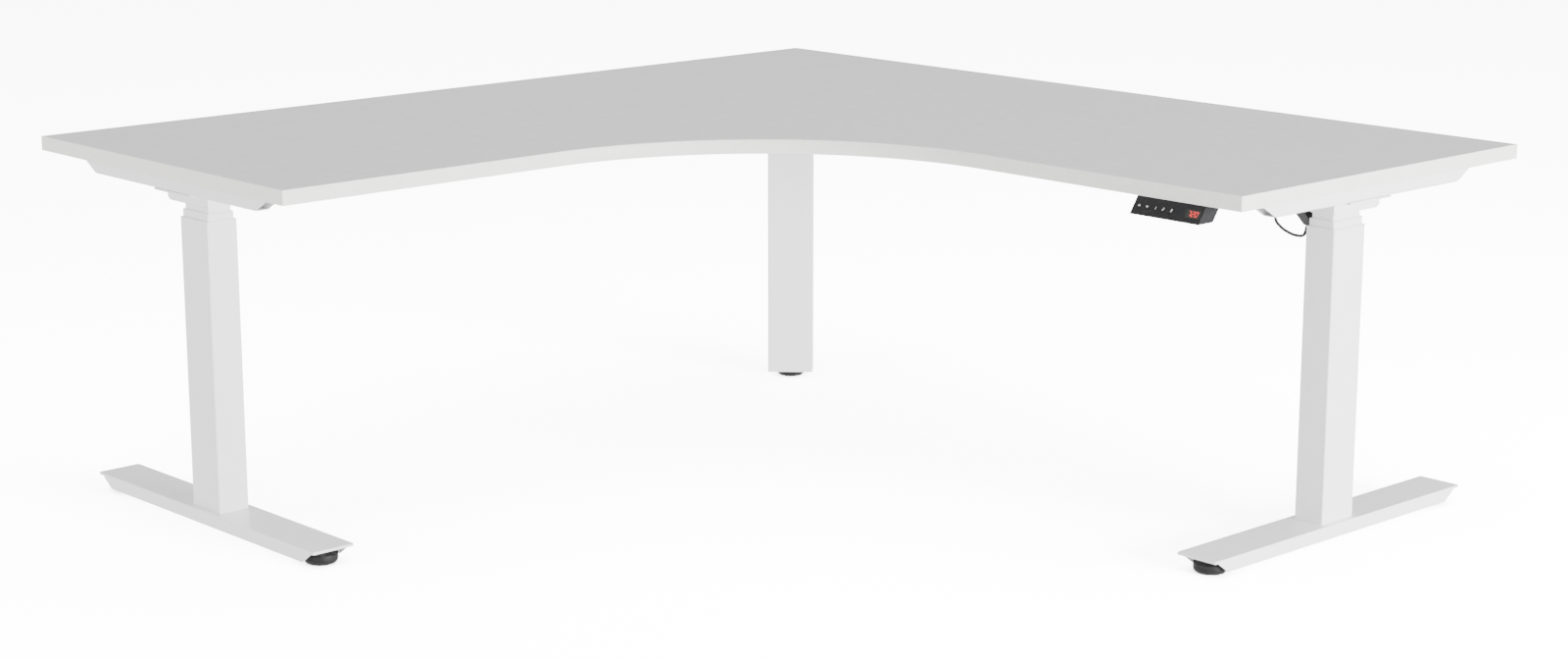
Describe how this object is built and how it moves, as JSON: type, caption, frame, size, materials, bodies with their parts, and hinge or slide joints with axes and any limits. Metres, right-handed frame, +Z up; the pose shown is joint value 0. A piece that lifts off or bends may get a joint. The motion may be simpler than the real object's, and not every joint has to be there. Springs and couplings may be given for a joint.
{
  "type": "height adjustable corner desk",
  "caption": "L-shaped sit-stand desk: one-piece top with a rounded inner corner on telescopic electric legs, with floor feet and a handset under the front edge.",
  "frame": {"origin": "on the floor, under the middle of the top's square outline", "axes": "+Z up, +X along the right wing from the back corner, -Y along the left wing from the back corner"},
  "size_m": [1.8, 1.8, 0.64],
  "materials": {
    "laminate": "light grey matt melamine, fine grain",
    "edge": "off-white plastic edge band, satin",
    "frame_paint": "white powder coat on steel, satin with a fine texture",
    "zinc": "zinc plated",
    "glide_plastic": "white acetal",
    "spindle_steel": "plain steel, greased",
    "motor_paint": "black paint, satin",
    "pad_rubber": "black, matt",
    "handset_plastic": "black, fine texture",
    "window_plastic": "smoked black, glossy",
    "button_plastic": "black with white symbols",
    "box_plastic": "black, fine texture",
    "lead_rubber": "black, satin"
  },
  "bodies": {
    "right_base": {"right_outer_tube": "frame_paint", "right_outer_glides": "glide_plastic", "right_stand_tube": "spindle_steel", "right_foot": "frame_paint"},
    "left_base": {"left_outer_tube": "frame_paint", "left_outer_glides": "glide_plastic", "left_stand_tube": "spindle_steel", "left_foot": "frame_paint"},
    "rear_base": {"rear_outer_tube": "frame_paint", "rear_outer_glides": "glide_plastic", "rear_stand_tube": "spindle_steel"},
    "right_middle": {"right_middle_tube": "frame_paint", "right_middle_glides": "glide_plastic", "right_spindle_carrier": "spindle_steel"},
    "left_middle": {"left_middle_tube": "frame_paint", "left_middle_glides": "glide_plastic", "left_spindle_carrier": "spindle_steel"},
    "rear_middle": {"rear_middle_tube": "frame_paint", "rear_middle_glides": "glide_plastic", "rear_spindle_carrier": "spindle_steel"},
    "top": {"desktop_board": "laminate", "desktop_edge_band": "edge", "desktop_screws": "zinc", "right_inner_tube": "frame_paint", "right_head": "frame_paint", "right_head_plate": "frame_paint", "right_gearmotor": "motor_paint", "left_inner_tube": "frame_paint", "left_head": "frame_paint", "left_head_plate": "frame_paint", "left_gearmotor": "motor_paint", "rear_inner_tube": "frame_paint", "rear_head": "frame_paint", "rear_head_plate": "frame_paint", "rear_gearmotor": "motor_paint", "right_bracket": "frame_paint", "left_bracket": "frame_paint", "cross_rails": "frame_paint", "handset_housing": "handset_plastic", "display_window": "window_plastic", "control_box": "box_plastic", "mains_inlet": "box_plastic", "motor_lead": "lead_rubber", "handset_lead": "lead_rubber"},
    "right_inner_screw": {"right_solid_spindle": "spindle_steel"},
    "right_outer_screw": {"right_hollow_spindle": "spindle_steel"},
    "left_inner_screw": {"left_solid_spindle": "spindle_steel"},
    "left_outer_screw": {"left_hollow_spindle": "spindle_steel"},
    "rear_inner_screw": {"rear_solid_spindle": "spindle_steel"},
    "rear_outer_screw": {"rear_hollow_spindle": "spindle_steel"},
    "right_front_levelling_foot": {"right_front_pad": "pad_rubber"},
    "right_back_levelling_foot": {"right_back_pad": "pad_rubber"},
    "left_front_levelling_foot": {"left_front_pad": "pad_rubber"},
    "left_back_levelling_foot": {"left_back_pad": "pad_rubber"},
    "rear_levelling_foot": {"rear_pad": "pad_rubber"},
    "key_up": {"button_up": "button_plastic"},
    "key_down": {"button_down": "button_plastic"},
    "key_memory_1": {"button_memory_1": "button_plastic"},
    "key_memory_2": {"button_memory_2": "button_plastic"},
    "key_memory_3": {"button_memory_3": "button_plastic"}
  },
  "joints": [
    {"name": "right_outer_lift", "type": "slide", "parent": "right_base", "child": "right_middle", "axis": [0, 0, 1], "range_m": [0, 0.325]},
    {"name": "right_inner_lift", "type": "slide", "parent": "right_middle", "child": "top", "axis": [0, 0, 1], "range_m": [0, 0.325]},
    {"name": "left_inner_lift", "type": "slide", "parent": "top", "child": "left_middle", "axis": [0, 0, -1], "range_m": [0, 0.325]},
    {"name": "left_outer_lift", "type": "slide", "parent": "left_middle", "child": "left_base", "axis": [0, 0, -1], "range_m": [0, 0.325]},
    {"name": "rear_inner_lift", "type": "slide", "parent": "top", "child": "rear_middle", "axis": [0, 0, -1], "range_m": [0, 0.325]},
    {"name": "rear_outer_lift", "type": "slide", "parent": "rear_middle", "child": "rear_base", "axis": [0, 0, -1], "range_m": [0, 0.325]},
    {"name": "right_inner_screw_turn", "type": "hinge", "parent": "top", "child": "right_inner_screw", "pos_m": [0.803, 0.525, 0.6], "axis": [0, 0, 1], "range_deg": [0, 23400]},
    {"name": "right_outer_screw_turn", "type": "hinge", "parent": "right_middle", "child": "right_outer_screw", "pos_m": [0.803, 0.525, 0.4], "axis": [0, 0, 1], "range_deg": [0, 11700]},
    {"name": "left_inner_screw_turn", "type": "hinge", "parent": "top", "child": "left_inner_screw", "pos_m": [-0.525, -0.803, 0.6], "axis": [0, 0, 1], "range_deg": [0, 23400]},
    {"name": "left_outer_screw_turn", "type": "hinge", "parent": "left_middle", "child": "left_outer_screw", "pos_m": [-0.525, -0.803, 0.4], "axis": [0, 0, 1], "range_deg": [0, 11700]},
    {"name": "rear_inner_screw_turn", "type": "hinge", "parent": "top", "child": "rear_inner_screw", "pos_m": [-0.663, 0.663, 0.6], "axis": [0, 0, 1], "range_deg": [0, 23400]},
    {"name": "rear_outer_screw_turn", "type": "hinge", "parent": "rear_middle", "child": "rear_outer_screw", "pos_m": [-0.663, 0.663, 0.4], "axis": [0, 0, 1], "range_deg": [0, 11700]},
    {"name": "right_front_foot_turn", "type": "hinge", "parent": "right_base", "child": "right_front_levelling_foot", "pos_m": [0.803, 0.225, 0], "axis": [0, 0, 1], "continuous": true},
    {"name": "right_back_foot_turn", "type": "hinge", "parent": "right_base", "child": "right_back_levelling_foot", "pos_m": [0.803, 0.825, 0], "axis": [0, 0, 1], "continuous": true},
    {"name": "left_front_foot_turn", "type": "hinge", "parent": "left_base", "child": "left_front_levelling_foot", "pos_m": [-0.225, -0.803, 0], "axis": [0, 0, 1], "continuous": true},
    {"name": "left_back_foot_turn", "type": "hinge", "parent": "left_base", "child": "left_back_levelling_foot", "pos_m": [-0.825, -0.803, 0], "axis": [0, 0, 1], "continuous": true},
    {"name": "rear_foot_turn", "type": "hinge", "parent": "rear_base", "child": "rear_levelling_foot", "pos_m": [-0.663, 0.663, 0], "axis": [0, 0, 1], "continuous": true},
    {"name": "press_up", "type": "slide", "parent": "top", "child": "key_up", "axis": [0, 0.8178, -0.5755], "range_m": [0, 0.0006], "stiffness_N_per_m": 2500, "springref_m": -0.0003},
    {"name": "press_down", "type": "slide", "parent": "top", "child": "key_down", "axis": [0, 0.8178, -0.5755], "range_m": [0, 0.0006], "stiffness_N_per_m": 2500, "springref_m": -0.0003},
    {"name": "press_memory_1", "type": "slide", "parent": "top", "child": "key_memory_1", "axis": [0, 0.8178, -0.5755], "range_m": [0, 0.0006], "stiffness_N_per_m": 2500, "springref_m": -0.0003},
    {"name": "press_memory_2", "type": "slide", "parent": "top", "child": "key_memory_2", "axis": [0, 0.8178, -0.5755], "range_m": [0, 0.0006], "stiffness_N_per_m": 2500, "springref_m": -0.0003},
    {"name": "press_memory_3", "type": "slide", "parent": "top", "child": "key_memory_3", "axis": [0, 0.8178, -0.5755], "range_m": [0, 0.0006], "stiffness_N_per_m": 2500, "springref_m": -0.0003}
  ],
  "couplings": [
    {"joint": "right_inner_lift", "follows": "right_outer_lift", "ratio": 1},
    {"joint": "left_inner_lift", "follows": "right_outer_lift", "ratio": 1},
    {"joint": "left_outer_lift", "follows": "right_outer_lift", "ratio": 1},
    {"joint": "rear_inner_lift", "follows": "right_outer_lift", "ratio": 1},
    {"joint": "rear_outer_lift", "follows": "right_outer_lift", "ratio": 1},
    {"joint": "right_inner_screw_turn", "follows": "right_outer_lift", "rad_per_m": 1256.6},
    {"joint": "right_outer_screw_turn", "follows": "right_outer_lift", "rad_per_m": 628.32},
    {"joint": "left_inner_screw_turn", "follows": "right_outer_lift", "rad_per_m": 1256.6},
    {"joint": "left_outer_screw_turn", "follows": "right_outer_lift", "rad_per_m": 628.32},
    {"joint": "rear_inner_screw_turn", "follows": "right_outer_lift", "rad_per_m": 1256.6},
    {"joint": "rear_outer_screw_turn", "follows": "right_outer_lift", "rad_per_m": 628.32}
  ]
}
